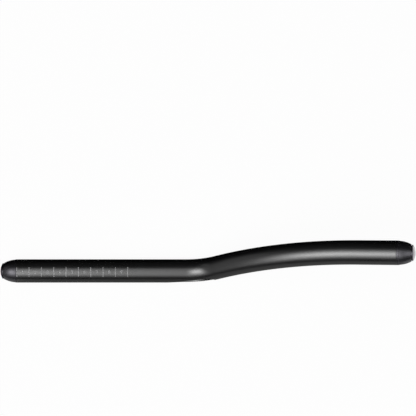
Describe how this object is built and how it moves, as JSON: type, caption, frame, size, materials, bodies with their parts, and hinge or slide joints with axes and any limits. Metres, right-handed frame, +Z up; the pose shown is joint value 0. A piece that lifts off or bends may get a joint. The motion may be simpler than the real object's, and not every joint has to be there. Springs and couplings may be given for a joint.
{
  "type": "aero handlebar extension",
  "caption": "Hollow ski-bend aero bar extension: a straight clamp section bends up and inward to a raised grip, with an oblique cable port at the bend and a push-in plug in each end.",
  "frame": {"origin": "middle of the straight clamp section, on the tube's axis", "axes": "+X forward along the clamp section, +Y inward (to the rider's left), +Z up"},
  "size_m": [0.3843, 0.042, 0.0925],
  "materials": {
    "carbon_laminate": "satin black unidirectional carbon composite with a printed grey length scale on top of the clamp section",
    "plug_moulding": "satin dark bluish-grey moulded plastic"
  },
  "bodies": {
    "root": {"extension_tube": "carbon_laminate", "end_plugs": "plug_moulding"}
  },
  "joints": []
}
